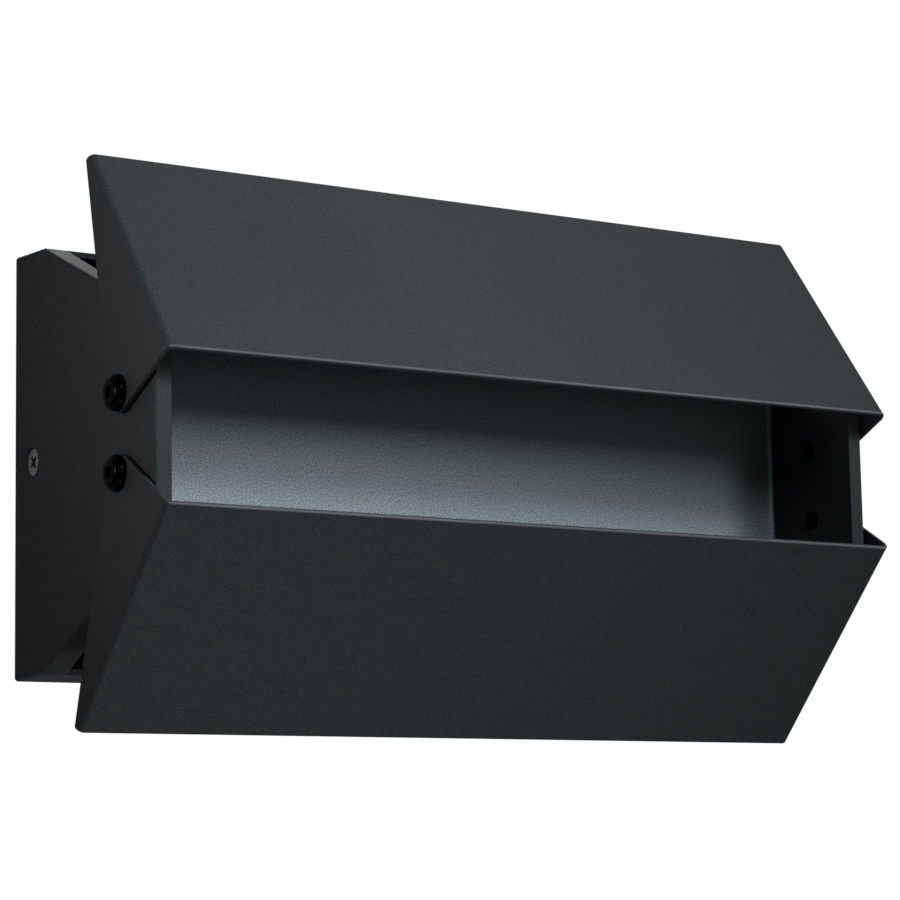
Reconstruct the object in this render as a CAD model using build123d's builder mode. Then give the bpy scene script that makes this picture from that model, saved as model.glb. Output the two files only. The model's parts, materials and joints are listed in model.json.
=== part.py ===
from build123d import *
import os
from math import atan2, cos, hypot, pi, radians, sin

# Outdoor LED wall sconce: a die-cast housing on a wall bracket, with an upper and a lower flap
# that turn on button-head screws and shade the light leaving upwards and downwards.
# Millimetres. The origin lies on the wall, at the middle of the bracket. X runs to the right,
# Z up, and the front faces -Y. Depths are counted from the wall, so depth d lies at Y = -d.

# Housing casting
housing_width = 226.0
housing_height = 114.5
pan_front_height = 113.2
pan_depth = 16.5
cheek_depth = 81.2
cheek_front_height = 54.9
cheek_root = 7.0
cheek_edge = 4.4
side_wall = 3.5
rim_wall = 1.6
casting_round = 1.0
cheek_edge_round = 0.5

# Lamp box between the cheeks, with a light pocket above and below it
box_depth = 47.6
box_height = 72.0
box_wall = 3.0
recess_round = 1.5
tray_corner = 2.5
tray_depth = 8.0
web_wall = 2.5
rib_wall = 3.0
tab_slot = 4.5

# Flaps of bent sheet, turning on the pivot screws
sheet = 1.2
bend_radius = 0.8
ear_round = 5.0
ear_corner = 0.5
pivot_depth = 64.5
pivot_spacing = 20.2
upper_tilt = 36.6
lower_tilt = 42.5
upright_tilt = 4.2
edge_gap = 5.1
flap_clearance = 0.4
lid_margin = 2.0
sheet_edge_round = 0.3

# Pivot screws, M5 button head, and their friction washers
pivot_shank = 5.0
pivot_head = 9.4
pivot_head_height = 2.75
pivot_dome = 2.2
pivot_socket = 3.0
pivot_socket_depth = 1.6
pivot_tip = 0.7
pivot_chamfer = 0.8
washer_diameter = 9.6
washer_thickness = 0.6
axial_play = 0.05
running_clearance = 0.05

# Screws of the casting, with plain shanks in their tapped holes
thread_clearance = 0.05
hole_clearance = 0.2
m3_shank = 3.0
m3_head = 5.5
m3_head_height = 2.2
m3_recess = 2.8
recess_slot = 0.8
recess_sink = 1.2
boss_diameter = 7.0
blind_skin = 0.8

# Side screws, M3.5 countersunk, from the housing into the bracket
side_shank = 3.5
side_head = 7.0
side_sink = 8.4
side_recess = 4.0
side_slot = 1.1
side_turn = 38.0
side_screw_depth = 9.9
side_tip = 1.5

# Wall bracket
strap_thickness = 1.5
strap_height = 28.0
strap_bend = 1.5
tab_reach = 15.0
tab_clearance = 0.2
wide_spacing = 88.9
slot_step = 9.525
slot_length = 7.5
slot_width = 4.8
wire_hole = 18.0

# Rear cover, its gasket and the supply's grommet
cover_thickness = 1.2
cover_gasket = 0.8
cover_margin = 3.5
gasket_width = 9.5
cover_screw_length = 8.0
cover_boss_length = 9.0
boss_inset = 3.0
grommet_flange = 18.0
grommet_flange_thickness = 2.4
grommet_groove = 14.0
grommet_bore = 9.0

# Windows and light engines
glass_end_space = 9.0
glass_depth = 29.0
glass_thickness = 3.0
glass_gasket = 1.0
glass_clearance = 0.5
window_lip = 2.5
tray_driver_gap = 2.0
tray_wall = 1.5
tray_floor = 2.0
tray_tab_width = 11.0
tray_tab_clearance = 0.5
tray_screw_length = 6.0
tray_screw_offset = 5.0
board_end_space = 9.0
board_width = 17.0
board_thickness = 1.6
board_screw_inset = 7.0
board_screw_length = 4.0
led_count = 10
led_row_inset = 21.0
led_length = 3.5
led_width = 2.8
led_height = 0.8

# Driver, terminal block and earth screw on the front wall of the lamp box
driver_end_space = 47.0
driver_height = 26.0
driver_depth = 24.0
driver_corner = 2.0
driver_foot = 12.0
driver_foot_width = 16.0
driver_foot_thickness = 2.0
driver_boss = 4.0
terminal_space = 6.0
terminal_length = 22.0
terminal_height = 14.0
terminal_depth = 12.0
terminal_floor = 2.5
terminal_pad = 12.0
terminal_well = 3.2
terminal_well_depth = 4.0
terminal_pole_spacing = 8.0
terminal_well_spacing = 14.0
earth_space = 8.0
earth_shank = 4.0
earth_head = 8.0
earth_head_height = 2.8
earth_boss = 6.0
earth_boss_diameter = 9.0
earth_screw_length = 8.0

# Internal leads
lead_diameter = 1.6
lead_spacing = 3.5
lead_offset = 0.25
lead_level = 4.0
lead_rise = 4.0
lead_landing = 2.0
lead_bend = 5.0
lead_landing_bend = 2.5
lead_hole = 2.8
lead_gap = 0.05
input_offset = 4.5

# Worked out from the sizes above
half_width = housing_width / 2
half_pan = pan_front_height / 2
half_cheek = cheek_front_height / 2
half_box = box_height / 2
rim_inner = half_pan - rim_wall
pocket_back = tray_depth + web_wall
cavity_front = box_depth - box_wall
cavity_half_width = half_width - side_wall - tab_slot - rib_wall
cavity_half_height = half_box - box_wall
past_front = 1.1 * cheek_depth

pivot_height = pivot_spacing / 2
ear_inner = half_width + washer_thickness + axial_play
flap_width = 2 * (ear_inner + sheet)
head_seat = ear_inner + sheet + axial_play
bend_outer = bend_radius + sheet
lid_tilt = pi / 2 - atan2(half_pan - half_cheek, cheek_depth - pan_depth)
corner_reach = hypot(cheek_depth - pivot_depth, half_cheek - pivot_height)
panel_offset = corner_reach + flap_clearance + sheet
upright = radians(upright_tilt)
inner_reach = (pivot_height - edge_gap / 2 + panel_offset * sin(upright)) / cos(upright)
outer_reach = (pivot_depth + panel_offset * cos(lid_tilt) - pan_depth - lid_margin) / sin(lid_tilt)

glass_length = 2 * (cavity_half_width - glass_end_space)
board_length = glass_length - 2 * board_end_space
led_spacing = (board_length - 2 * led_row_inset) / (led_count - 1)
driver_length = 2 * (cavity_half_width - driver_end_space)
driver_foot_end = driver_length / 2 + driver_foot
terminal_place = driver_foot_end + terminal_space + terminal_length / 2
earth_place = -driver_foot_end - earth_space

cover_front = tray_depth - cover_gasket
cover_back = cover_front - cover_thickness
window_centre = cavity_front - glass_clearance - glass_depth / 2
lead_depth = window_centre + lead_offset
glass_face = cavity_half_height - glass_gasket
tray_rim = glass_face - glass_thickness
tray_height = tray_rim - driver_height / 2 - tray_driver_gap
tray_inside = tray_rim - tray_height + tray_floor
board_top = tray_inside + board_thickness
board_screw_reach = board_length / 2 - board_screw_inset
tray_screw_place = glass_length / 2 + tray_screw_offset
tray_tab_end = cavity_half_width - tray_tab_clearance
driver_seat = cavity_front - driver_boss
driver_screw_place = driver_length / 2 + driver_foot / 2
earth_seat = cavity_front - earth_boss

cover_screw_places = [
    (x * (cavity_half_width - boss_inset), z * (cavity_half_height - boss_inset))
    for x in (-1, 1)
    for z in (-1, 0, 1)
]


def cheek_inside(depth):
    """Half the width between the cheeks: they thin from root to front edge, as a casting's draft needs."""
    share = (depth - pan_depth) / (cheek_depth - pan_depth)
    return half_width - cheek_root - (cheek_edge - cheek_root) * share


def between_cheeks(start):
    """The open space between the cheeks, in plan, from a depth to past their front edges."""
    with BuildSketch(mode=Mode.PRIVATE) as plan:
        with BuildLine():
            Polyline(
                (-cheek_inside(start), -start),
                (cheek_inside(start), -start),
                (cheek_inside(past_front), -past_front),
                (-cheek_inside(past_front), -past_front),
                close=True,
            )
        make_face()
    return plan


def level(height):
    """A horizontal plane at a height."""
    return Plane.XY.offset(height)


def at_depth(depth):
    """A plane parallel to the wall at a depth, with its normal towards the front."""
    return Plane.XZ.offset(depth)


def facing_back(x, depth, z):
    """A screw seat in a plane parallel to the wall, with the head towards the wall."""
    return Plane(origin=(x, -depth, z), x_dir=(1, 0, 0), z_dir=(0, 1, 0))


# Screw patterns, each made once on its own seat plane: head above the seat, shank below it

with BuildPart() as button_screw:
    with BuildSketch():
        Circle(pivot_head / 2)
    extrude(amount=pivot_head_height)
    fillet(button_screw.edges().sort_by(Axis.Z)[-1], pivot_dome)
    with BuildSketch(level(pivot_head_height)):
        RegularPolygon(radius=pivot_socket / 2, side_count=6, major_radius=False)
    extrude(amount=-pivot_socket_depth, mode=Mode.SUBTRACT)
    with BuildSketch():
        Circle(pivot_shank / 2)
    extrude(amount=-(head_seat - cheek_inside(pivot_depth) + pivot_tip))
    chamfer(button_screw.edges().sort_by(Axis.Z)[0], pivot_chamfer)

with BuildPart() as countersunk_screw:
    with BuildSketch():
        Circle(side_shank / 2)
    extrude(amount=-(side_wall + tab_clearance + strap_thickness + side_tip))
    Cone(
        side_shank / 2,
        side_head / 2,
        (side_head - side_shank) / 2,
        align=(Align.CENTER, Align.CENTER, Align.MAX),
    )
    with BuildSketch():
        Rectangle(side_recess, side_slot, rotation=side_turn)
        Rectangle(side_slot, side_recess, rotation=side_turn)
    extrude(amount=-recess_sink, mode=Mode.SUBTRACT)


def pan_screw(shank, head, head_height, length):
    """A pan-head screw with a cross recess."""
    with BuildPart() as screw:
        with BuildSketch():
            Circle(head / 2)
        extrude(amount=head_height)
        fillet(screw.edges().sort_by(Axis.Z)[-1], head_height / 2)
        with BuildSketch(level(head_height)):
            Rectangle(m3_recess, recess_slot)
            Rectangle(recess_slot, m3_recess)
        extrude(amount=-recess_sink, mode=Mode.SUBTRACT)
        with BuildSketch():
            Circle(shank / 2)
        extrude(amount=-length)
    return screw.part


def m3_screw(length):
    """The small pan-head screw of the internal pieces."""
    return pan_screw(m3_shank, m3_head, m3_head_height, length)


# Housing: one casting, with the pan on the wall, the lamp box and the two cheeks

with BuildPart() as housing:
    with BuildSketch(Plane.YZ.offset(-half_width)):
        with BuildLine():
            Polyline(
                (0, housing_height / 2),
                (-pan_depth, half_pan),
                (-cheek_depth, half_cheek),
                (-cheek_depth, -half_cheek),
                (-pan_depth, -half_pan),
                (0, -housing_height / 2),
                close=True,
            )
        make_face()
    extrude(amount=housing_width)
    soft_edges = housing.edges().filter_by_position(Axis.Y, -cheek_depth, 0, (False, False))
    fillet(soft_edges, casting_round)
    fillet(housing.faces().sort_by(Axis.Y)[0].edges(), cheek_edge_round)

    # Light pockets above and below the lamp box: under the pan's rim, then open between the cheeks
    for side in (1, -1):
        with BuildSketch(level(side * half_box)):
            with Locations((0, -(pocket_back + pan_depth) / 2)):
                Rectangle(2 * cheek_inside(pan_depth), pan_depth - pocket_back)
        extrude(amount=side * (rim_inner - half_box), mode=Mode.SUBTRACT)
        with BuildSketch(level(side * half_box)):
            add(between_cheeks(pan_depth).sketch)
        extrude(amount=side * housing_height / 2, mode=Mode.SUBTRACT)
        with BuildSketch(level(side * cavity_half_height)):
            with Locations((0, -window_centre)):
                Rectangle(glass_length - 2 * window_lip, glass_depth - 2 * window_lip)
        extrude(amount=side * box_wall, mode=Mode.SUBTRACT)

    # Front recess between the cheeks, with a cast radius in its corners
    with BuildSketch(level(-half_box)) as recess:
        add(between_cheeks(box_depth).sketch)
        fillet(recess.vertices().group_by(Axis.Y)[-1], recess_round)
    extrude(amount=box_height, mode=Mode.SUBTRACT)

    # Shallow tray at the wall, the lamp box's cavity and the slots for the bracket's tabs
    with BuildSketch(at_depth(0)):
        RectangleRounded(housing_width - 2 * side_wall, 2 * rim_inner, tray_corner)
    extrude(amount=tray_depth, mode=Mode.SUBTRACT)
    with BuildSketch(at_depth(tray_depth)):
        Rectangle(2 * cavity_half_width, 2 * cavity_half_height)
        with Locations((half_width - side_wall - tab_slot / 2, 0), (-half_width + side_wall + tab_slot / 2, 0)):
            Rectangle(tab_slot, 2 * cavity_half_height)
    extrude(amount=cavity_front - tray_depth, mode=Mode.SUBTRACT)

    # Bosses for the screws of the cover, the trays, the driver, the terminal block and the earth
    with BuildSketch(at_depth(tray_depth)):
        with Locations(*cover_screw_places):
            Circle(boss_diameter / 2)
    extrude(amount=cover_boss_length)
    for side in (1, -1):
        with BuildSketch(level(side * cavity_half_height)):
            with Locations((-tray_screw_place, -window_centre), (tray_screw_place, -window_centre)):
                Circle(boss_diameter / 2)
        extrude(amount=-side * (cavity_half_height - tray_rim))
    with BuildSketch(at_depth(cavity_front)):
        with Locations((-driver_screw_place, 0), (driver_screw_place, 0)):
            Circle(boss_diameter / 2)
        with Locations((terminal_place, 0)):
            Rectangle(terminal_pad, terminal_pad)
    extrude(amount=-driver_boss)
    with BuildSketch(at_depth(cavity_front)):
        with Locations((earth_place, 0)):
            Circle(earth_boss_diameter / 2)
    extrude(amount=-earth_boss)

    # Tapped holes
    with BuildSketch(at_depth(tray_depth)):
        with Locations(*cover_screw_places):
            Circle(m3_shank / 2 + thread_clearance)
    extrude(amount=cover_screw_length, mode=Mode.SUBTRACT)
    for side in (1, -1):
        with BuildSketch(level(side * tray_rim)):
            with Locations((-tray_screw_place, -window_centre), (tray_screw_place, -window_centre)):
                Circle(m3_shank / 2 + thread_clearance)
        extrude(amount=side * tray_screw_length, mode=Mode.SUBTRACT)
    with BuildSketch(at_depth(driver_seat)):
        with Locations((-driver_screw_place, 0), (driver_screw_place, 0), (terminal_place, 0)):
            Circle(m3_shank / 2 + thread_clearance)
    extrude(amount=driver_boss + box_wall - blind_skin, mode=Mode.SUBTRACT)
    with BuildSketch(at_depth(earth_seat)):
        with Locations((earth_place, 0)):
            Circle(earth_shank / 2 + thread_clearance)
    extrude(amount=earth_boss + box_wall - blind_skin, mode=Mode.SUBTRACT)
    with BuildSketch(Plane.YZ):
        with Locations((-pivot_depth, pivot_height), (-pivot_depth, -pivot_height)):
            Circle(pivot_shank / 2 + thread_clearance)
    extrude(amount=housing_width, both=True, mode=Mode.SUBTRACT)

    # Countersunk holes for the side screws
    for side in (1, -1):
        with Locations(Plane(origin=(side * half_width, -side_screw_depth, 0), z_dir=(side, 0, 0))):
            CounterSinkHole(
                side_shank / 2 + hole_clearance, side_sink / 2, side_wall + tab_slot / 2, counter_sink_angle=90
            )


# Flaps: a channel of bent sheet, cut to the outline of its ears


def bent_flap(side, tilt):
    """A flap at its tilt from upright: side is 1 for the upper one and -1 for the lower one."""
    lean = radians(tilt)
    pivot = Vector(0, -pivot_depth, side * pivot_height)
    outward = Vector(0, -cos(lean), side * sin(lean))
    along = Vector(0, sin(lean), side * cos(lean))
    section = Plane(origin=pivot - along * inner_reach, x_dir=(side, 0, 0), z_dir=along)
    profile = Plane(origin=pivot, x_dir=outward, z_dir=(-side, 0, 0))
    ear_end = 1.2 * ear_round
    past_ear = 2 * ear_end
    ear_strip = bend_outer + ear_corner
    with BuildPart() as flap:
        with BuildSketch(section) as outside:
            with Locations((0, (ear_end - panel_offset) / 2)):
                Rectangle(flap_width, panel_offset + ear_end)
            fillet(outside.vertices().group_by(Axis.Y)[0], bend_outer)
        extrude(amount=inner_reach + outer_reach)
        with BuildSketch(section) as inside:
            with Locations((0, (past_ear - panel_offset + sheet) / 2)):
                Rectangle(flap_width - 2 * sheet, panel_offset - sheet + past_ear)
            fillet(inside.vertices().group_by(Axis.Y)[0], bend_radius)
        extrude(amount=inner_reach + outer_reach, mode=Mode.SUBTRACT)
        with BuildSketch(profile) as outline:
            Circle(ear_round)
            with Locations((panel_offset - ear_strip / 2, (outer_reach - inner_reach) / 2)):
                Rectangle(ear_strip, inner_reach + outer_reach)
            make_hull()
            strip_ends = (outer_reach, -inner_reach)
            corners = [
                min(outline.vertices(), key=lambda v: hypot(v.X - panel_offset + ear_strip, v.Y - end))
                for end in strip_ends
            ]
            fillet(corners, ear_corner)
        extrude(amount=flap_width, both=True, mode=Mode.INTERSECT)
        bends = flap.edges().filter_by(Axis(pivot, along))
        across = flap.edges().filter_by(Axis.X).filter_by(lambda e: e.length < 2 * sheet)
        fillet(flap.edges() - bends - across, sheet_edge_round)
        with BuildSketch(profile):
            Circle(pivot_shank / 2 + running_clearance)
        extrude(amount=flap_width, both=True, mode=Mode.SUBTRACT)
    return flap.part


upper_flap = bent_flap(1, upper_tilt)
lower_flap = bent_flap(-1, lower_tilt)

# Pivot screws and washers, held by the cheeks

with BuildPart() as pivot_screws:
    for x in (-1, 1):
        for z in (-1, 1):
            with Locations(Plane(origin=(x * head_seat, -pivot_depth, z * pivot_height), z_dir=(x, 0, 0))):
                add(button_screw.part)

with BuildPart() as pivot_washers:
    for x in (-1, 1):
        with BuildSketch(Plane.YZ.offset(x * half_width)):
            with Locations((-pivot_depth, pivot_height), (-pivot_depth, -pivot_height)):
                Circle(washer_diameter / 2)
                Circle(pivot_shank / 2 + hole_clearance, mode=Mode.SUBTRACT)
        extrude(amount=x * washer_thickness)

# Wall bracket and the side screws that hold the housing on it

tab_face = half_width - side_wall - tab_clearance
narrow_spacing = wide_spacing - 2 * slot_step

with BuildPart() as wall_bracket:
    with BuildSketch(level(-strap_height / 2)) as strap_outside:
        with Locations((0, -tab_reach / 2)):
            Rectangle(2 * tab_face, tab_reach)
        fillet(strap_outside.vertices().group_by(Axis.Y)[-1], strap_bend + strap_thickness)
    extrude(amount=strap_height)
    with BuildSketch(level(-strap_height / 2)) as strap_inside:
        with Locations((0, -strap_thickness - tab_reach / 2)):
            Rectangle(2 * (tab_face - strap_thickness), tab_reach)
        fillet(strap_inside.vertices().group_by(Axis.Y)[-1], strap_bend)
    extrude(amount=strap_height, mode=Mode.SUBTRACT)
    with BuildSketch(at_depth(0)):
        Circle(wire_hole / 2)
        for spacing in (wide_spacing, narrow_spacing):
            with Locations((-spacing / 2, 0), (spacing / 2, 0)):
                SlotOverall(slot_length, slot_width)
    extrude(amount=strap_thickness, mode=Mode.SUBTRACT)
    with BuildSketch(Plane.YZ):
        with Locations((-side_screw_depth, 0)):
            Circle(side_shank / 2 + thread_clearance)
    extrude(amount=half_width, both=True, mode=Mode.SUBTRACT)

side_head_face = half_width - (side_sink - side_head) / 2 + thread_clearance

with BuildPart() as side_screws:
    for x in (-1, 1):
        with Locations(Plane(origin=(x * side_head_face, -side_screw_depth, 0), z_dir=(x, 0, 0))):
            add(countersunk_screw.part)

# Rear cover with its gasket, screws and grommet

cover_width = 2 * (cavity_half_width + rib_wall)
cover_height = 2 * (cavity_half_height + cover_margin)

with BuildPart() as rear_cover:
    with BuildSketch(at_depth(cover_back)):
        RectangleRounded(cover_width, cover_height, tray_corner)
        with Locations(*cover_screw_places):
            Circle(m3_shank / 2 + hole_clearance, mode=Mode.SUBTRACT)
        Circle(grommet_groove / 2 + thread_clearance, mode=Mode.SUBTRACT)
    extrude(amount=cover_thickness)

with BuildPart() as rear_cover_gasket:
    with BuildSketch(at_depth(cover_front)):
        RectangleRounded(cover_width, cover_height, tray_corner)
        RectangleRounded(
            cover_width - 2 * gasket_width, cover_height - 2 * gasket_width, tray_corner, mode=Mode.SUBTRACT
        )
        with Locations(*cover_screw_places):
            Circle(m3_shank / 2 + hole_clearance, mode=Mode.SUBTRACT)
    extrude(amount=cover_gasket)

cover_screw = m3_screw(cover_screw_length)

with BuildPart() as rear_cover_screws:
    for x, z in cover_screw_places:
        with Locations(facing_back(x, cover_back, z)):
            add(cover_screw)

with BuildPart() as cable_grommet:
    with BuildSketch(at_depth(cover_back - grommet_flange_thickness)):
        Circle(grommet_flange / 2)
    extrude(amount=grommet_flange_thickness)
    with BuildSketch(at_depth(cover_back)):
        Circle(grommet_groove / 2)
    extrude(amount=cover_thickness)
    with BuildSketch(at_depth(cover_front)):
        Circle(grommet_flange / 2)
    extrude(amount=grommet_flange_thickness)
    flange_rims = cable_grommet.edges().filter_by(GeomType.CIRCLE).group_by(Axis.Y)
    fillet(flange_rims[0] + flange_rims[-1], grommet_flange_thickness / 3)
    with BuildSketch(at_depth(0)):
        Circle(grommet_bore / 2)
    extrude(amount=cavity_front, mode=Mode.SUBTRACT)

# Windows and light engines: gasket, glass, reflector tray, board and LEDs, from the pocket inwards


def window_frame(side):
    """Gasket between the pocket's floor and the glass."""
    with BuildPart() as gasket:
        with BuildSketch(level(side * glass_face)):
            with Locations((0, -window_centre)):
                Rectangle(glass_length, glass_depth)
                Rectangle(glass_length - 2 * window_lip, glass_depth - 2 * window_lip, mode=Mode.SUBTRACT)
        extrude(amount=side * glass_gasket)
    return gasket.part


def window_glass(side):
    """Glass under the gasket."""
    with BuildPart() as glass:
        with BuildSketch(level(side * tray_rim)):
            with Locations((0, -window_centre)):
                Rectangle(glass_length, glass_depth)
        extrude(amount=side * glass_thickness)
    return glass.part


def led_tray(side):
    """Open tray that presses the glass home, with a tab and a screw at each end."""
    tab_length = tray_tab_end - glass_length / 2 + tray_wall
    tab_middle = tray_tab_end - tab_length / 2
    lead_x = -glass_length / 2 + tray_wall + lead_rise
    with BuildPart() as tray:
        with BuildSketch(level(side * tray_rim)):
            with Locations((0, -window_centre)):
                Rectangle(glass_length, glass_depth)
        extrude(amount=-side * tray_height)
        with BuildSketch(level(side * tray_rim)):
            with Locations((-tab_middle, -window_centre), (tab_middle, -window_centre)):
                Rectangle(tab_length, tray_tab_width)
        extrude(amount=-side * tray_wall)
        with BuildSketch(level(side * tray_rim)):
            with Locations((0, -window_centre)):
                Rectangle(glass_length - 2 * tray_wall, glass_depth - 2 * tray_wall)
        extrude(amount=-side * (tray_height - tray_floor), mode=Mode.SUBTRACT)
        with BuildSketch(level(side * tray_rim)):
            with Locations((-tray_screw_place, -window_centre), (tray_screw_place, -window_centre)):
                Circle(m3_shank / 2 + hole_clearance)
        extrude(amount=-side * tray_wall, mode=Mode.SUBTRACT)
        with BuildSketch(level(side * tray_inside)):
            with Locations(*[(x, -window_centre) for x in (-board_screw_reach, 0, board_screw_reach)]):
                Circle(m3_shank / 2 + thread_clearance)
            with Locations((lead_x, -lead_depth - lead_spacing / 2), (lead_x, -lead_depth + lead_spacing / 2)):
                Circle(lead_hole / 2)
        extrude(amount=-side * tray_floor, mode=Mode.SUBTRACT)
    return tray.part


def led_board(side):
    """Metal-core board on the tray's floor."""
    with BuildPart() as board:
        with BuildSketch(level(side * tray_inside)):
            with Locations((0, -window_centre)):
                Rectangle(board_length, board_width)
            with Locations(*[(x, -window_centre) for x in (-board_screw_reach, 0, board_screw_reach)]):
                Circle(m3_shank / 2 + hole_clearance, mode=Mode.SUBTRACT)
        extrude(amount=side * board_thickness)
    return board.part


def led_row(side):
    """Row of LEDs on the board."""
    with BuildPart() as leds:
        with BuildSketch(level(side * board_top)):
            with Locations((0, -window_centre)):
                with GridLocations(led_spacing, led_spacing, led_count, 1):
                    Rectangle(led_length, led_width)
        extrude(amount=side * led_height)
    return leds.part


tray_screw = m3_screw(tray_screw_length)

with BuildPart() as tray_screws:
    for side in (1, -1):
        for x in (-1, 1):
            seat = (x * tray_screw_place, -window_centre, side * (tray_rim - tray_wall))
            with Locations(Plane(origin=seat, z_dir=(0, 0, -side))):
                add(tray_screw)

board_screw = m3_screw(board_screw_length)

with BuildPart() as board_screws:
    for side in (1, -1):
        for x in (-board_screw_reach, 0, board_screw_reach):
            with Locations(Plane(origin=(x, -window_centre, side * board_top), z_dir=(0, 0, side))):
                add(board_screw)

# Driver, terminal block and earth screw

with BuildPart() as led_driver:
    with BuildSketch(at_depth(cavity_front - driver_depth)):
        RectangleRounded(driver_length, driver_height, driver_corner)
    extrude(amount=driver_depth)
    with BuildSketch(at_depth(driver_seat - driver_foot_thickness)):
        Rectangle(driver_length + 2 * driver_foot, driver_foot_width)
        with Locations((-driver_screw_place, 0), (driver_screw_place, 0)):
            Circle(m3_shank / 2 + hole_clearance, mode=Mode.SUBTRACT)
    extrude(amount=driver_foot_thickness)

terminal_back = driver_seat - terminal_depth
terminal_seat = driver_seat - terminal_floor
input_depth = terminal_back + input_offset

with BuildPart() as terminal_block:
    with BuildSketch(at_depth(terminal_back)):
        with Locations((terminal_place, 0)):
            Rectangle(terminal_length, terminal_height)
    extrude(amount=terminal_depth)
    with BuildSketch(at_depth(terminal_back)):
        with Locations((terminal_place, 0)):
            with GridLocations(terminal_well_spacing, terminal_pole_spacing, 2, 2):
                Circle(terminal_well / 2)
    extrude(amount=terminal_well_depth, mode=Mode.SUBTRACT)
    with BuildSketch(at_depth(terminal_back)):
        with Locations((terminal_place, 0)):
            Circle(m3_head / 2 + hole_clearance)
    extrude(amount=terminal_depth - terminal_floor, mode=Mode.SUBTRACT)
    with BuildSketch(at_depth(terminal_seat)):
        with Locations((terminal_place, 0)):
            Circle(m3_shank / 2 + hole_clearance)
    extrude(amount=terminal_floor, mode=Mode.SUBTRACT)

driver_screw = m3_screw(driver_foot_thickness + driver_boss + box_wall - 2 * blind_skin)
terminal_screw = m3_screw(terminal_floor + driver_boss + box_wall - 2 * blind_skin)

with BuildPart() as mounting_screws:
    for x in (-driver_screw_place, driver_screw_place):
        with Locations(facing_back(x, driver_seat - driver_foot_thickness, 0)):
            add(driver_screw)
    with Locations(facing_back(terminal_place, terminal_seat, 0)):
        add(terminal_screw)

with BuildPart() as earth_screw:
    with Locations(facing_back(earth_place, earth_seat, 0)):
        add(pan_screw(earth_shank, earth_head, earth_head_height, earth_screw_length))

# Internal leads


def led_leads(side):
    """Two leads from the driver's end, up through the tray's floor and onto the board."""
    rise_x = -glass_length / 2 + tray_wall + lead_rise
    landing = board_top + lead_diameter / 2 + lead_gap
    with BuildPart() as leads:
        for depth in (lead_depth - lead_spacing / 2, lead_depth + lead_spacing / 2):
            with BuildLine() as route:
                FilletPolyline(
                    (-driver_length / 2, -depth, side * lead_level),
                    (rise_x, -depth, side * lead_level),
                    (rise_x, -depth, side * landing),
                    (-board_length / 2 + lead_landing, -depth, side * landing),
                    radius=[lead_bend, lead_landing_bend],
                )
            with BuildSketch(Plane(origin=route.line @ 0, z_dir=route.line % 0)):
                Circle(lead_diameter / 2)
            sweep(path=route.line)
    return leads.part


with BuildPart() as input_leads:
    with BuildSketch(Plane.YZ.offset(driver_length / 2)):
        with Locations((-input_depth, terminal_pole_spacing / 2), (-input_depth, -terminal_pole_spacing / 2)):
            Circle(lead_diameter / 2)
    extrude(amount=terminal_place - terminal_length / 2 - driver_length / 2)

pieces = {
    "housing": housing.part,
    "upper_flap": upper_flap,
    "lower_flap": lower_flap,
    "pivot_screws": pivot_screws.part,
    "pivot_washers": pivot_washers.part,
    "side_screws": side_screws.part,
    "wall_bracket": wall_bracket.part,
    "rear_cover": rear_cover.part,
    "rear_cover_gasket": rear_cover_gasket.part,
    "rear_cover_screws": rear_cover_screws.part,
    "cable_grommet": cable_grommet.part,
    "upper_glass_gasket": window_frame(1),
    "lower_glass_gasket": window_frame(-1),
    "upper_glass": window_glass(1),
    "lower_glass": window_glass(-1),
    "upper_led_tray": led_tray(1),
    "lower_led_tray": led_tray(-1),
    "tray_screws": tray_screws.part,
    "upper_led_board": led_board(1),
    "lower_led_board": led_board(-1),
    "upper_leds": led_row(1),
    "lower_leds": led_row(-1),
    "board_screws": board_screws.part,
    "led_driver": led_driver.part,
    "terminal_block": terminal_block.part,
    "mounting_screws": mounting_screws.part,
    "earth_screw": earth_screw.part,
    "upper_led_leads": led_leads(1),
    "lower_led_leads": led_leads(-1),
    "input_leads": input_leads.part,
}

os.makedirs("parts", exist_ok=True)
for name, piece in pieces.items():
    piece.label = name
    export_step(piece, f"parts/{name}.step")
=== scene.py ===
# %% [markdown]
# # An outdoor LED wall sconce
#
# The imported part is a dark cast housing on a wall bracket, with an upper and a lower flap of bent sheet.
# Its shapes are already right, so this lesson gives it a camera, finishes, a few small pieces and light.
# The part is loaded first.

# %% Load the part
import json
import math

import bpy
from mathutils import Matrix, Vector


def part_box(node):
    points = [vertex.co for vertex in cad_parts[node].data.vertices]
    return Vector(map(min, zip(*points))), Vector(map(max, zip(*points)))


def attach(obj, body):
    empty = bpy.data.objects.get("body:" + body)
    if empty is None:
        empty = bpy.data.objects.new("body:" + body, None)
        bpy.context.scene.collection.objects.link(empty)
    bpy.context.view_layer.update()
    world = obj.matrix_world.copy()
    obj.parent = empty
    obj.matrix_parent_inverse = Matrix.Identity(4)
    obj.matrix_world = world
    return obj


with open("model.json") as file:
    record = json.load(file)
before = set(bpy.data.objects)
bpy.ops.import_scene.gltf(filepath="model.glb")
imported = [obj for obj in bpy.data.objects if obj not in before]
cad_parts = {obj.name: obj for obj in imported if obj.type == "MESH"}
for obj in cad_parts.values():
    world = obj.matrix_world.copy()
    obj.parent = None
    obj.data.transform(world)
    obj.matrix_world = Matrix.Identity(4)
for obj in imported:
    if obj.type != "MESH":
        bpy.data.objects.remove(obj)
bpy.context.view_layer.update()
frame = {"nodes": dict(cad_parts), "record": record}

nodes = frame["nodes"]
MM = 0.001

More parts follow.
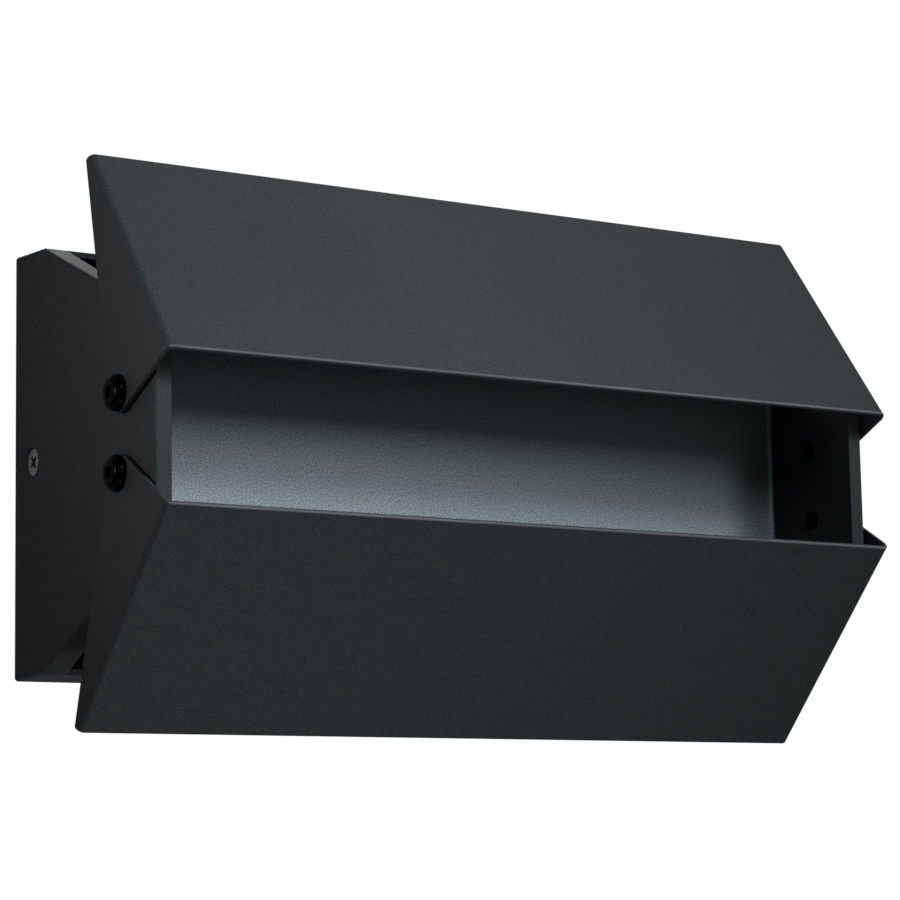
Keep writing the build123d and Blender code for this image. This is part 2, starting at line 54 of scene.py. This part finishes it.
# %% [markdown]
# ## Camera
#
# The view is from the left front, a little from below, through a long lens, so the edges hardly converge.
# A camera could be turned by angles and nudged until it fits. Here its matrix is made of three directions,
# which leaves no doubt about the order of the turns. A camera looks along its own -Z with +Y up, so these
# are: to the right of the picture, up in the picture, and back towards the viewer. Roll turns the first two
# about the third.

# %% Place the camera
PICTURE_WIDTH_PIXELS = 900
FOCAL_LENGTH_PIXELS = 2938.4
SENSOR_WIDTH_MM = 36.0
VIEW_YAW = math.radians(33.106)
VIEW_PITCH = math.radians(8.544)
VIEW_ROLL = math.radians(1.054)
VIEW_POINT = Vector((-439.90, -713.95, -114.22)) * MM

view_forward = Vector(
    (
        math.sin(VIEW_YAW) * math.cos(VIEW_PITCH),
        math.cos(VIEW_YAW) * math.cos(VIEW_PITCH),
        math.sin(VIEW_PITCH),
    )
)
level_right = Vector((math.cos(VIEW_YAW), -math.sin(VIEW_YAW), 0))
level_down = view_forward.cross(level_right)
view_right = level_right * math.cos(VIEW_ROLL) + level_down * math.sin(VIEW_ROLL)
view_down = level_down * math.cos(VIEW_ROLL) - level_right * math.sin(VIEW_ROLL)

lens = bpy.data.cameras.new("studio_camera")
lens.sensor_width = SENSOR_WIDTH_MM
lens.lens = FOCAL_LENGTH_PIXELS / PICTURE_WIDTH_PIXELS * SENSOR_WIDTH_MM
camera = bpy.data.objects.new("studio_camera", lens)
turn = Matrix((view_right, -view_down, -view_forward)).transposed()
camera.matrix_world = Matrix.Translation(VIEW_POINT) @ turn.to_4x4()
bpy.context.scene.collection.objects.link(camera)
bpy.context.scene.camera = camera
print("lens in mm:", round(lens.lens, 1))

# %% [markdown]
# ## Shared effects
#
# Several finishes show the same kinds of unevenness: the orange peel and fine speckle of a sprayed coat, the
# lines of brushed or rolled metal, and broad cloudy patches that no factory surface is free of. A picture of
# such a surface could be laid on, but every piece would need a map for it. Each effect is a node group
# instead. It reads Object coordinates in metres, so a grain keeps its real size, and it puts out plain values
# that a material can use as height, tone or roughness.


# %% Helpers for node groups
def effect(name, dial, dial_value, outputs):
    """A node group with one named float input and several outputs, and the nodes at its two ends."""
    group = bpy.data.node_groups.new(name, "ShaderNodeTree")
    socket = group.interface.new_socket(dial, in_out="INPUT", socket_type="NodeSocketFloat")
    socket.default_value = dial_value
    for label in outputs:
        group.interface.new_socket(label, in_out="OUTPUT", socket_type="NodeSocketFloat")
    return group, group.nodes.new("NodeGroupInput"), group.nodes.new("NodeGroupOutput")


def object_place(tree):
    """The Object output of a Texture Coordinate node."""
    return tree.nodes.new("ShaderNodeTexCoord").outputs["Object"]


def noise(tree, place, detail, per_metre=None):
    """A noise read at a place; its fineness is set here, or linked later."""
    node = tree.nodes.new("ShaderNodeTexNoise")
    node.inputs["Detail"].default_value = detail
    if per_metre is not None:
        node.inputs["Scale"].default_value = per_metre
    tree.links.new(place, node.inputs["Vector"])
    return node


# %% Grain of a sprayed coat
COAT_GRAINS_PER_METRE = 1250.0
SPECKLES_PER_METRE = 2500.0
COAT_CLOUDS_PER_METRE = 14.0
PEEL_ROUGHNESS = 0.55


def make_coat_grain():
    """Orange-peel height, fine speckle and broad cloud of a powder coat."""
    outputs = ["Height", "Speckle", "Cloud"]
    group, given, result = effect("coat_grain", "Grains per metre", COAT_GRAINS_PER_METRE, outputs)
    place = object_place(group)
    peel = noise(group, place, 1.5)
    peel.inputs["Roughness"].default_value = PEEL_ROUGHNESS
    group.links.new(given.outputs["Grains per metre"], peel.inputs["Scale"])
    speckle = noise(group, place, 0.0, SPECKLES_PER_METRE)
    cloud = noise(group, place, 3.0, COAT_CLOUDS_PER_METRE)
    for label, node in zip(outputs, (peel, speckle, cloud)):
        group.links.new(node.outputs["Fac"], result.inputs[label])
    return group


COAT_GRAIN = make_coat_grain()
print("effect:", COAT_GRAIN.name)

# %% Lines of brushed or rolled metal
METAL_LINES_PER_METRE = 2400.0
METAL_CLOUDS_PER_METRE = 45.0
STRETCH_ALONG_X = (0.03, 1.0, 1.0)


def make_metal_lines():
    """Fine lines along X, and cloudy patches, of rolled or brushed metal."""
    outputs = ["Line", "Cloud"]
    group, given, result = effect("metal_lines", "Lines per metre", METAL_LINES_PER_METRE, outputs)
    place = object_place(group)
    stretch = group.nodes.new("ShaderNodeMapping")
    stretch.inputs["Scale"].default_value = STRETCH_ALONG_X
    group.links.new(place, stretch.inputs["Vector"])
    line = noise(group, stretch.outputs["Vector"], 2.0)
    group.links.new(given.outputs["Lines per metre"], line.inputs["Scale"])
    cloud = noise(group, place, 3.0, METAL_CLOUDS_PER_METRE)
    for label, node in zip(outputs, (line, cloud)):
        group.links.new(node.outputs["Fac"], result.inputs[label])
    return group


METAL_LINES = make_metal_lines()
print("effect:", METAL_LINES.name)

# %% [markdown]
# ## Material helpers
#
# Every finish starts as one Principled shader. Values that are the same all over are set on its sockets. What
# changes over the surface comes from an effect: it is spread to a range, and feeds colour, roughness or bump.
# These steps repeat in every material, so each is a small function.


# %% Start a material
def start_finish(name, **values):
    """A material with its Principled shader; values are socket names with spaces written as underscores."""
    finish = bpy.data.materials.new(name + "_finish")
    finish.use_nodes = True
    shader = finish.node_tree.nodes["Principled BSDF"]
    for socket, value in values.items():
        shader.inputs[socket.replace("_", " ")].default_value = value
    return finish, finish.node_tree, shader


def place_effect(tree, group, **values):
    """An effect placed in a material, with its own values."""
    node = tree.nodes.new("ShaderNodeGroup")
    node.node_tree = group
    for socket, value in values.items():
        node.inputs[socket.replace("_", " ")].default_value = value
    return node


# %% Turn an effect into tone, roughness and bump
def spread(tree, source, low, high, start=0.3, end=0.7):
    """Spreads the middle of a noise to a range of values."""
    node = tree.nodes.new("ShaderNodeMapRange")
    node.inputs["From Min"].default_value = start
    node.inputs["From Max"].default_value = end
    node.inputs["To Min"].default_value = low
    node.inputs["To Max"].default_value = high
    tree.links.new(source, node.inputs["Value"])
    return node.outputs["Result"]


def between(tree, share, first, second):
    """A colour between two, by a share that changes over the surface."""
    node = tree.nodes.new("ShaderNodeMix")
    node.data_type = "RGBA"
    tree.links.new(share, node.inputs["Factor"])
    for socket, colour in zip((node.inputs["A"], node.inputs["B"]), (first, second)):
        if isinstance(colour, bpy.types.NodeSocket):
            tree.links.new(colour, socket)
        else:
            socket.default_value = (*colour, 1.0)
    return node.outputs["Result"]


def scaled(colour, factor):
    """A colour made lighter or darker."""
    return tuple(channel * factor for channel in colour)


def mottled(tree, source, colour, darkest, lightest):
    """A colour that a noise makes darker and lighter by two factors."""
    return between(tree, spread(tree, source, 0, 1), scaled(colour, darkest), scaled(colour, lightest))


def raise_grain(tree, shader, height, depth_mm, strength):
    """Bump of a real depth on a shader's normal."""
    bump = tree.nodes.new("ShaderNodeBump")
    bump.inputs["Distance"].default_value = depth_mm * MM
    bump.inputs["Strength"].default_value = strength
    tree.links.new(height, bump.inputs["Height"])
    tree.links.new(bump.outputs["Normal"], shader.inputs["Normal"])


# %% [markdown]
# ## Powder coat
#
# Housing and flaps wear the same charcoal coat with a faint blue-green tint. The sprayed powder melts into a
# matte skin with shallow orange peel and small light and dark points. A smooth grey would look like plastic,
# and a deep bump like leather, so most of the grain lies in the colour: a fine noise speckles it, a broad one
# lets the roughness drift, and a shallow bump makes the peel. Little sheen keeps the dark faces dark.

# %% Charcoal coat
CHARCOAL = (0.0250, 0.0321, 0.0342)
CHARCOAL_SPECKLE = (0.70, 1.32)
COAT_SHEEN = 0.12
COAT_ROUGHNESS = (0.48, 0.58)
PEEL_DEPTH_MM = 0.05


def powder_coat(name):
    """Charcoal coat: speckled colour, uneven roughness and orange-peel bump."""
    finish, tree, shader = start_finish(name, Specular_IOR_Level=COAT_SHEEN)
    grain = place_effect(tree, COAT_GRAIN, Grains_per_metre=COAT_GRAINS_PER_METRE)
    tone = mottled(tree, grain.outputs["Speckle"], CHARCOAL, *CHARCOAL_SPECKLE)
    tree.links.new(tone, shader.inputs["Base Color"])
    tree.links.new(spread(tree, grain.outputs["Cloud"], *COAT_ROUGHNESS), shader.inputs["Roughness"])
    raise_grain(tree, shader, grain.outputs["Height"], PEEL_DEPTH_MM, strength=1.0)
    return finish, tree, shader, grain, tone


def times(tree, first, second):
    """The product of two values."""
    node = tree.nodes.new("ShaderNodeMath")
    node.operation = "MULTIPLY"
    tree.links.new(first, node.inputs[0])
    tree.links.new(second, node.inputs[1])
    return node.outputs["Value"]


# %% [markdown]
# ## Painted highlight on the flaps' front edges
#
# Each flap's foremost edge is painted a paler grey: a painted highlight, where the rounded edge catches the
# light. The edge is a straight line along X, and the mask is the distance from that line: with X scaled to
# nothing, every place counts only by its depth and height. The line goes through the foremost vertex of the
# mesh, so it follows a changed tilt. A mask from the shape's sharp edges would also light up the other edges.

# %% Coats of the flaps
EDGE_HIGHLIGHT_WIDTH = 0.5 * MM
EDGE_HIGHLIGHT_GREY = (0.130, 0.145, 0.150)
ACROSS_X = (0.0, 1.0, 1.0)


def flap_coat(name, node):
    """The charcoal coat, with a painted highlight in paler grey along the flap's foremost edge."""
    finish, tree, shader, grain, tone = powder_coat(name)
    edge = min(node.data.vertices, key=lambda vertex: vertex.co.y).co
    across = tree.nodes.new("ShaderNodeMapping")
    across.inputs["Scale"].default_value = ACROSS_X
    tree.links.new(object_place(tree), across.inputs["Vector"])
    away = tree.nodes.new("ShaderNodeVectorMath")
    away.operation = "DISTANCE"
    away.inputs[1].default_value = (0.0, edge.y, edge.z)
    tree.links.new(across.outputs["Vector"], away.inputs[0])
    # Painted highlight: the flap turns paler grey within half a millimetre of its foremost edge.
    near = spread(tree, away.outputs["Value"], 1, 0, 0.5 * EDGE_HIGHLIGHT_WIDTH, EDGE_HIGHLIGHT_WIDTH)
    highlight_share = times(tree, near, spread(tree, grain.outputs["Cloud"], 0.5, 1.0))
    tree.links.new(between(tree, highlight_share, tone, EDGE_HIGHLIGHT_GREY), shader.inputs["Base Color"])
    return finish


coats = {flap: flap_coat(flap, nodes[flap]) for flap in ("upper_flap", "lower_flap")}
print("coats:", [coat.name for coat in coats.values()])

# %% [markdown]
# ## Pale front of the lamp box
#
# The recessed front of the lamp box, between the flaps, has a paler grey than the rest of the casting, with a
# trace of metal in it. The paler tone is partly painted sheen: it stands in for the brighter reflection that
# this satin front gives of the lit surroundings. Its faces could have a material slot of their own, but a
# imported mesh stays as it is. So one material holds both tones and mixes them by place, with a mask that is
# 1 in a thin box around that front and 0 elsewhere.

# %% Coat of the housing
RECESS_GREY_AND_SHEEN = (0.280, 0.344, 0.366)
RECESS_SPECKLE = (0.66, 1.38)
RECESS_METALLIC = 0.22
RECESS_ROUGHNESS = 0.40
HOUSING_ROUGHNESS = 0.53
RECESS_DEPTH = 47.6 * MM
RECESS_HALF_DEPTH = 1.2 * MM
RECESS_HALF_WIDTH = 107.4 * MM
RECESS_HALF_HEIGHT = 36.0 * MM


def within(tree, source, centre, half, soft):
    """1 where a coordinate lies within half of a centre, 0 past it, with a soft edge."""
    away = tree.nodes.new("ShaderNodeMath")
    away.operation = "SUBTRACT"
    away.inputs[1].default_value = centre
    tree.links.new(source, away.inputs[0])
    size = tree.nodes.new("ShaderNodeMath")
    size.operation = "ABSOLUTE"
    tree.links.new(away.outputs["Value"], size.inputs[0])
    return spread(tree, size.outputs["Value"], 1, 0, half - soft, half)


def housing_coat(name):
    """The charcoal coat, with a paler grey, partly painted sheen, on the recessed front of the lamp box."""
    finish, tree, shader, grain, tone = powder_coat(name)
    axes = tree.nodes.new("ShaderNodeSeparateXYZ")
    tree.links.new(object_place(tree), axes.inputs["Vector"])
    depth = within(tree, axes.outputs["Y"], -RECESS_DEPTH, RECESS_HALF_DEPTH, soft=0.6 * MM)
    width = within(tree, axes.outputs["X"], 0, RECESS_HALF_WIDTH, soft=0.4 * MM)
    height = within(tree, axes.outputs["Z"], 0, RECESS_HALF_HEIGHT, soft=0.2 * MM)
    front = times(tree, times(tree, depth, width), height)
    # Painted sheen, in part: the paler grey of the recessed front stands in for its brighter reflection of
    # the surroundings.
    pale_and_sheen = mottled(tree, grain.outputs["Speckle"], RECESS_GREY_AND_SHEEN, *RECESS_SPECKLE)
    tree.links.new(between(tree, front, tone, pale_and_sheen), shader.inputs["Base Color"])
    tree.links.new(spread(tree, front, 0, RECESS_METALLIC, 0, 1), shader.inputs["Metallic"])
    roughness = spread(tree, front, HOUSING_ROUGHNESS, RECESS_ROUGHNESS, 0, 1)
    tree.links.new(roughness, shader.inputs["Roughness"])
    return finish


coats["housing"] = housing_coat("housing")
print("coat:", coats["housing"].name)

# %% [markdown]
# ## Metals
#
# The pivot screws are black oxide, oily and rather shiny. The side screws are plain steel that a driver bit
# has worked on. The bracket is zinc-plated sheet with rolling lines and cloudy zinc, the cover and the trays
# are mill aluminium, and the earth screw is brass. All but the black one are true metals, with Metallic at 1.
# They differ only in colour, gloss and the fineness of their lines, so one function makes them all.

# %% Metal finishes
OXIDE_BLACK = (0.0012, 0.0012, 0.0014, 1.0)
OXIDE_SHEEN = 0.03
OXIDE_ROUGHNESS = (0.18, 0.26)
FINE_LINES = 4000.0


def black_oxide(name):
    """Shiny black steel with faint smudges."""
    finish, tree, shader = start_finish(name, Base_Color=OXIDE_BLACK, Specular_IOR_Level=OXIDE_SHEEN)
    lines = place_effect(tree, METAL_LINES)
    tree.links.new(spread(tree, lines.outputs["Cloud"], *OXIDE_ROUGHNESS), shader.inputs["Roughness"])
    raise_grain(tree, shader, lines.outputs["Cloud"], depth_mm=0.02, strength=0.2)
    return finish


def bare_metal(name, colour, roughness, lines_per_metre=METAL_LINES_PER_METRE):
    """Bare metal with fine lines and cloudy patches in tone and roughness."""
    finish, tree, shader = start_finish(name, Metallic=1.0)
    lines = place_effect(tree, METAL_LINES, Lines_per_metre=lines_per_metre)
    tone = mottled(tree, lines.outputs["Cloud"], colour, 0.82, 1.0)
    tree.links.new(tone, shader.inputs["Base Color"])
    tree.links.new(spread(tree, lines.outputs["Line"], *roughness), shader.inputs["Roughness"])
    raise_grain(tree, shader, lines.outputs["Line"], depth_mm=0.008, strength=0.35)
    return finish


finishes = {
    "black_screws": black_oxide("black_screws"),
    "plain_screws": bare_metal("plain_screws", (0.34, 0.335, 0.32), (0.30, 0.45), FINE_LINES),
    "zinc_sheet": bare_metal("zinc_sheet", (0.60, 0.61, 0.63), (0.28, 0.42)),
    "plain_aluminium": bare_metal("plain_aluminium", (0.74, 0.75, 0.76), (0.30, 0.44), 2000.0),
    "zinc_screws": bare_metal("zinc_screws", (0.64, 0.64, 0.62), (0.20, 0.32), FINE_LINES),
    "earth_brass": bare_metal("earth_brass", (0.72, 0.52, 0.21), (0.24, 0.36), FINE_LINES),
}
print("metals:", list(finishes))

# %% [markdown]
# ## Rubber and plastic
#
# Gaskets and grommet are moulded rubber with a dull, dusty skin. The washers, the driver's case, the terminal
# block and the leads are moulded plastics, the boards carry a white mask, and the LEDs a yellow silicone.
# All show the coat's grain, but far shallower, so they use the same effect with finer grains and a broad
# change of tone in place of the speckle.

# %% Moulded finishes
MOULD_GRAINS_PER_METRE = 2200.0
PLASTIC_SHEEN = 0.5


def moulded(name, colour, roughness, depth_mm=0.01, sheen=PLASTIC_SHEEN):
    """Moulded rubber or plastic with a shallow grain and uneven gloss."""
    finish, tree, shader = start_finish(name, Specular_IOR_Level=sheen)
    grain = place_effect(tree, COAT_GRAIN, Grains_per_metre=MOULD_GRAINS_PER_METRE)
    tone = mottled(tree, grain.outputs["Cloud"], colour, 0.88, 1.06)
    tree.links.new(tone, shader.inputs["Base Color"])
    tree.links.new(spread(tree, grain.outputs["Cloud"], *roughness), shader.inputs["Roughness"])
    raise_grain(tree, shader, grain.outputs["Height"], depth_mm, strength=0.3)
    return finish


moulded_finishes = {
    "washer_nylon": moulded("washer_nylon", (0.012, 0.012, 0.012), (0.45, 0.55)),
    "seal_rubber": moulded("seal_rubber", (0.26, 0.26, 0.27), (0.62, 0.78), sheen=0.3),
    "grommet_rubber": moulded("grommet_rubber", (0.018, 0.018, 0.018), (0.55, 0.7), 0.02, 0.35),
    "driver_case": moulded("driver_case", (0.72, 0.72, 0.70), (0.42, 0.55)),
    "terminal_plastic": moulded("terminal_plastic", (0.76, 0.76, 0.71), (0.30, 0.42)),
    "lead_insulation": moulded("lead_insulation", (0.42, 0.035, 0.03), (0.35, 0.48)),
    "board_white": moulded("board_white", (0.82, 0.83, 0.82), (0.32, 0.44)),
    "led_phosphor": moulded("led_phosphor", (0.86, 0.66, 0.12), (0.18, 0.28)),
}
finishes.update(moulded_finishes)
print("moulded:", list(moulded_finishes))

# %% [markdown]
# ## Window glass
#
# The windows above and below the lamp box are clear tempered glass with a trace of green. A see-through alpha
# would show no refraction, so the shader transmits light instead. Its roughness drifts a little, where rain
# has left a haze.

# %% Clear glass
GLASS_TINT = (0.93, 0.97, 0.955, 1.0)
GLASS_IOR = 1.5
GLASS_HAZE = (0.01, 0.05)


def clear_glass(name):
    """Clear window glass with a trace of green and a few haze marks."""
    finish, tree, shader = start_finish(name, Base_Color=GLASS_TINT, Transmission_Weight=1.0, IOR=GLASS_IOR)
    grain = place_effect(tree, COAT_GRAIN)
    tree.links.new(spread(tree, grain.outputs["Cloud"], *GLASS_HAZE), shader.inputs["Roughness"])
    return finish


finishes["window_glass"] = clear_glass("window_glass")
print("glass:", finishes["window_glass"].name)

# %% [markdown]
# ## Finishes on the nodes
#
# The record says which slot each node belongs to, so each node's own material is swapped for the finish of
# that slot. Only the housing and the flaps take a coat of their own, because theirs depends on the shape.
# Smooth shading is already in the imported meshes.

# %% Dress the nodes
slot_of_node = {entry["node"]: entry["material_slot"] for entry in frame["record"]["subparts"]}
for node_name, node in nodes.items():
    node.data.materials.clear()
    node.data.materials.append(coats.get(node_name) or finishes[slot_of_node[node_name]])
print("dressed:", len(nodes))

# %% [markdown]
# ## Domes on the LED boards
#
# Each LED is a small chip under a dome of yellow silicone, seen through the windows from above and below. A
# dome could be a curve spun round, but a sphere is quicker: it is cut off at the face that it sits on and
# pressed flat. Its copies are set in their places and joined as one piece.


# %% A helper for domes
def deselect_everything():
    """Nothing selected, so that the next operator acts on the new piece alone."""
    bpy.ops.object.select_all(action="DESELECT")


def one_dome(place, radius, height_share, up):
    """A flattened half sphere on a level face; up is 1 on an upper face and -1 on a lower one."""
    deselect_everything()
    bpy.ops.mesh.primitive_uv_sphere_add(segments=24, ring_count=12, radius=radius, location=place)
    bpy.ops.object.mode_set(mode="EDIT")
    bpy.ops.mesh.select_all(action="SELECT")
    bpy.ops.mesh.bisect(plane_co=place, plane_no=(0, 0, up), use_fill=True, clear_inner=True)
    bpy.ops.mesh.select_all(action="SELECT")
    bpy.ops.transform.resize(value=(1, 1, height_share), center_override=place)
    bpy.ops.mesh.normals_make_consistent(inside=False)
    bpy.ops.object.mode_set(mode="OBJECT")
    return bpy.context.object


def domes(name, places, radius, height_share, up, slot):
    """One piece of equal domes on the housing's body, with the finish of a slot."""
    piece = one_dome(places[0], radius, height_share, up)
    copies = [piece]
    for place in places[1:]:
        twin = piece.copy()
        twin.data = piece.data.copy()
        twin.location = place
        bpy.context.scene.collection.objects.link(twin)
        copies.append(twin)
    deselect_everything()
    for twin in copies:
        twin.select_set(True)
    bpy.context.view_layer.objects.active = piece
    bpy.ops.object.join()
    bpy.ops.object.transform_apply(location=True, rotation=True, scale=True)
    bpy.ops.object.shade_smooth_by_angle(angle=math.radians(35))
    piece.name = name
    piece.data.name = name
    piece.data.materials.clear()
    piece.data.materials.append(finishes[slot])
    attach(piece, "housing")
    print(name, "domes:", len(places), "faces:", len(piece.data.polygons))


# %% LED domes
LED_LENGTH = 3.5 * MM
LED_SPACING = 14.0 * MM
LED_DOME_RADIUS = 1.25 * MM
LED_DOME_HEIGHT_SHARE = 0.55
SIDES = (("upper", 1), ("lower", -1))

for side, up in SIDES:
    low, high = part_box(side + "_leds")
    face = high.z if up > 0 else low.z
    middle = (low.y + high.y) / 2
    count = round((high.x - low.x - LED_LENGTH) / LED_SPACING) + 1
    row = [(low.x + LED_LENGTH / 2 + place * LED_SPACING, middle, face) for place in range(count)]
    domes(side + "_led_domes", row, LED_DOME_RADIUS, LED_DOME_HEIGHT_SHARE, up, "led_phosphor")

# %% [markdown]
# ## Solder joints
#
# Each lead ends at a pad of its board in a blob of solder that wetted the pad and set. It is a fuller dome of
# bright metal, so the same helper makes it, at the two leads' places near the left end of each board.

# %% Solder on the pads
LEAD_RADIUS = 0.8 * MM
LEAD_LANDING = 2.4 * MM
SOLDER_RADIUS = 1.15 * MM
SOLDER_HEIGHT_SHARE = 0.95

for side, up in SIDES:
    board_low, board_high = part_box(side + "_led_board")
    lead_low, lead_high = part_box(side + "_led_leads")
    face = board_high.z if up > 0 else board_low.z
    lead_places = (lead_low.y + LEAD_RADIUS, lead_high.y - LEAD_RADIUS)
    ends = [(board_low.x + LEAD_LANDING, place, face) for place in lead_places]
    domes(side + "_solder_joints", ends, SOLDER_RADIUS, SOLDER_HEIGHT_SHARE, up, "zinc_screws")

# %% [markdown]
# ## Light
#
# In the photograph the main light stands high in front and to the right: the upper flap is the lightest of
# the large faces, and its edge throws a soft shadow into the recess. Grids narrow the softboxes, as a
# photographer narrows them, so that dark faces stay dark. A low softbox lifts the lower flap. A small one on
# the left, a little behind the wall plate, aims past the upper ear, so the side grows lighter towards the
# front and the panels get none of it. The others light the top, the back and the right, for views from there.


# %% A helper for softboxes
def softbox(name, azimuth, elevation, distance, size, grid, watts, aim=(0, -40, 0), tint=(1, 1, 1)):
    """A soft lamp with a grid that narrows its light; azimuth 0 is straight in front and grows to the right.

    Angles are in degrees, distance and size in metres, and the place that it aims at in millimetres.
    """
    lamp = bpy.data.lights.new(name, "AREA")
    lamp.shape = "SQUARE"
    lamp.size = size
    lamp.energy = watts
    lamp.color = tint
    lamp.spread = math.radians(grid)
    holder = bpy.data.objects.new(name, lamp)
    around, above = math.radians(azimuth), math.radians(elevation)
    level = math.cos(above)
    out = Vector((math.sin(around) * level, -math.cos(around) * level, math.sin(above)))
    holder.location = out * distance
    back = holder.location - Vector(aim) * MM
    holder.rotation_euler = back.to_track_quat("Z", "Y").to_euler()
    bpy.context.scene.collection.objects.link(holder)
    return holder


# %% Lamps
FRONT_LEFT = (-90, -80, -20)
FRONT_MIDDLE = (-30, -80, -20)
PAST_LEFT_EAR = (-113, -225, 85)
SIDE_TINT = (1.0, 0.87, 0.91)
lamps = [
    softbox("key_softbox", 21, 32, 1.4, 0.36, 32, 0.515, FRONT_LEFT),
    softbox("low_key_softbox", 24, 15, 1.4, 0.36, 32, 0.088, FRONT_LEFT),
    softbox("level_softbox", 20, -6, 1.4, 0.3, 32, 0.008, FRONT_LEFT),
    softbox("fill_softbox", -8, 28, 1.4, 0.5, 40, 0.31, FRONT_LEFT),
    softbox("low_fill_softbox", -5, -56, 0.8, 0.3, 50, 0.165, FRONT_MIDDLE),
    softbox("top_softbox", 60, 58, 1.4, 0.45, 40, 0.18, FRONT_LEFT),
    softbox("side_softbox", -96, 8, 0.93, 0.12, 32, 0.275, PAST_LEFT_EAR, SIDE_TINT),
    softbox("back_softbox", 150, 50, 1.4, 0.6, 75, 0.46),
    softbox("rear_softbox", 162, 20, 1.4, 0.4, 60, 1.2),
    softbox("right_softbox", 112, 8, 1.4, 0.6, 60, 0.8),
]
print("lamps:", [lamp.name for lamp in lamps])

# %% [markdown]
# ## White background
#
# The part stands before pure white. A bright sky would give that too, but it would light every dark face. The
# Light Path node tells rays apart: those from the camera and through clear glass find white, glossy ones a
# small share of it, and all others only a trace of light, which keeps the deepest shadows readable.

# %% White for the camera alone
AMBIENT_STRENGTH = 0.04
GLOSS_SHARE = 0.18


def seen_white(tree):
    """1 for what the camera and clear glass see, a smaller share for gloss, and 0 for all other light."""
    rays = tree.nodes.new("ShaderNodeLightPath")
    seen = rays.outputs["Is Camera Ray"]
    for kind, share in (("Is Glossy Ray", GLOSS_SHARE), ("Is Transmission Ray", 1.0)):
        either = tree.nodes.new("ShaderNodeMath")
        either.operation = "MULTIPLY_ADD"
        either.use_clamp = True
        either.inputs[1].default_value = share
        tree.links.new(rays.outputs[kind], either.inputs[0])
        tree.links.new(seen, either.inputs[2])
        seen = either.outputs["Value"]
    return seen


world = bpy.data.worlds.new("studio")
bpy.context.scene.world = world
world.use_nodes = True
sky = world.node_tree
ambient = sky.nodes["Background"]
ambient.inputs["Color"].default_value = (1.0, 1.0, 1.0, 1.0)
sky.links.new(spread(sky, seen_white(sky), AMBIENT_STRENGTH, 1, 0, 1), ambient.inputs["Strength"])
print("world:", world.name)

# %% [markdown]
# ## Pale floor
#
# A wall light hangs well above the ground, so the floor lies far below it, out of the main picture, and
# shows in views from the sides and from above. It is a plain sheet in a pale tone. The grids leave it in the
# dark, so it glows a little for the same rays as the background, and keeps the part's shadow in its shading.

# %% Floor
FLOOR_HEIGHT = -800.0 * MM
FLOOR_SIZE = 8.0
FLOOR_GLOW = 0.6
FLOOR_TONES = ((0.80, 0.80, 0.80), (0.84, 0.84, 0.84))

deselect_everything()
bpy.ops.mesh.primitive_plane_add(size=FLOOR_SIZE, location=(0, 0, FLOOR_HEIGHT))
floor = bpy.context.object
floor.name = "floor"
floor_finish, floor_tree, floor_shader = start_finish(
    "pale_floor", Roughness=0.8, Specular_IOR_Level=0.1, Emission_Color=(1.0, 1.0, 1.0, 1.0)
)
floor_grain = place_effect(floor_tree, COAT_GRAIN)
floor_tone = between(floor_tree, floor_grain.outputs["Cloud"], *FLOOR_TONES)
floor_tree.links.new(floor_tone, floor_shader.inputs["Base Color"])
floor_glow = spread(floor_tree, seen_white(floor_tree), 0, FLOOR_GLOW, 0, 1)
floor_tree.links.new(floor_glow, floor_shader.inputs["Emission Strength"])
floor.data.materials.append(floor_finish)
print("floor at mm:", round(FLOOR_HEIGHT / MM))

# %% [markdown]
# ## Finish
#
# Colours are shown as they are written, so the view transform is Standard.

# %% Finish
bpy.context.scene.view_settings.view_transform = "Standard"
